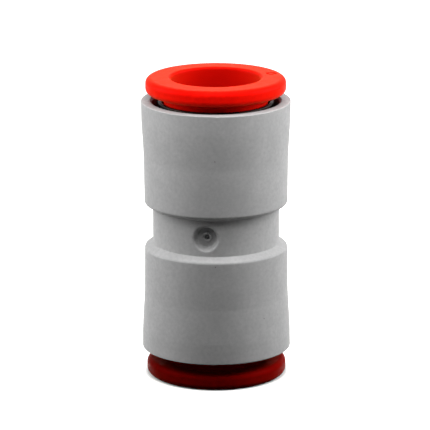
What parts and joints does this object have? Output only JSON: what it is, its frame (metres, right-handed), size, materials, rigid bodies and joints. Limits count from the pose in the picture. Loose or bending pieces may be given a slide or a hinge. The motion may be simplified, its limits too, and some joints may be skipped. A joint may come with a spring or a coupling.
{
  "type": "straight union fitting",
  "caption": "Push-in straight union that joins two plastic tubes end to end, with a stepped moulded body and a flanged release button in each mouth.",
  "frame": {"origin": "middle of the fitting on the tube axis, halfway between the two tube stops", "axes": "+Z along the tube axis towards the upper port, -Y towards the side with the gate recess"},
  "size_m": [0.022, 0.022, 0.0449],
  "materials": {
    "body_plastic": "fine moulded texture, light grey",
    "button_plastic": "smooth moulded, orange-red",
    "guide_metal": "turned and darkened",
    "collet_plastic": "natural moulded",
    "claw_steel": "stamped stainless sheet",
    "seal_rubber": "matt black rubber"
  },
  "bodies": {
    "fitting": {"body": "body_plastic", "upper_guide_ring": "guide_metal", "upper_tube_seal": "seal_rubber", "lower_guide_ring": "guide_metal", "lower_tube_seal": "seal_rubber"},
    "upper_button": {"upper_release_button": "button_plastic"},
    "lower_button": {"lower_release_button": "button_plastic"},
    "upper_grip": {"upper_collet": "collet_plastic", "upper_claw_ring": "claw_steel"},
    "lower_grip": {"lower_collet": "collet_plastic", "lower_claw_ring": "claw_steel"}
  },
  "joints": [
    {"name": "upper_button_press", "type": "slide", "parent": "fitting", "child": "upper_button", "axis": [0, 0, -1], "range_m": [-0.0007, 0.001], "stiffness_N_per_m": 200},
    {"name": "lower_button_press", "type": "slide", "parent": "fitting", "child": "lower_button", "axis": [0, 0, 1], "range_m": [0, 0.0017], "stiffness_N_per_m": 200, "springref_m": -0.001},
    {"name": "upper_grip_float", "type": "slide", "parent": "fitting", "child": "upper_grip", "axis": [0, 0, 1], "range_m": [0, 0.0004]},
    {"name": "lower_grip_float", "type": "slide", "parent": "fitting", "child": "lower_grip", "axis": [0, 0, -1], "range_m": [0, 0.0004]}
  ]
}
